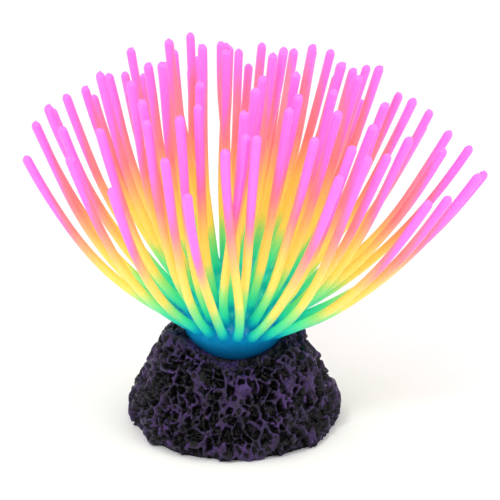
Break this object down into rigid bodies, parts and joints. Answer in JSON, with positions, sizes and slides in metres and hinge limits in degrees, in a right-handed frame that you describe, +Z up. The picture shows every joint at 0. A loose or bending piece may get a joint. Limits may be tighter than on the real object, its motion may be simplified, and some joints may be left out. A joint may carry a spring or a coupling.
{
  "type": "artificial sea anemone aquarium ornament",
  "caption": "Still aquarium ornament: a fan of soft round tentacles on a silicone foot, set in the crater of a flat-bottomed cast lava-look base.",
  "frame": {"origin": "the middle of the base's flat underside, on the floor", "axes": "+Z up out of the base; the front of the ornament faces -Y; +X is to its right as seen from the front, and the fan of tentacles is widest along X"},
  "size_m": [0.1339, 0.1173, 0.1176],
  "materials": {
    "base_resin": "matte",
    "silicone": "satin"
  },
  "bodies": {
    "root": {"rock_base": "base_resin", "silicone_foot": "silicone", "outer_tentacles_01": "silicone", "outer_tentacles_02": "silicone", "outer_tentacles_03": "silicone", "outer_tentacles_04": "silicone", "outer_tentacles_05": "silicone", "outer_tentacles_06": "silicone", "outer_tentacles_07": "silicone", "outer_tentacles_08": "silicone", "outer_tentacles_09": "silicone", "outer_tentacles_10": "silicone", "outer_tentacles_11": "silicone", "outer_tentacles_12": "silicone", "middle_tentacles_1": "silicone", "middle_tentacles_2": "silicone", "middle_tentacles_3": "silicone", "middle_tentacles_4": "silicone", "middle_tentacles_5": "silicone", "middle_tentacles_6": "silicone", "inner_tentacles": "silicone"}
  },
  "joints": []
}
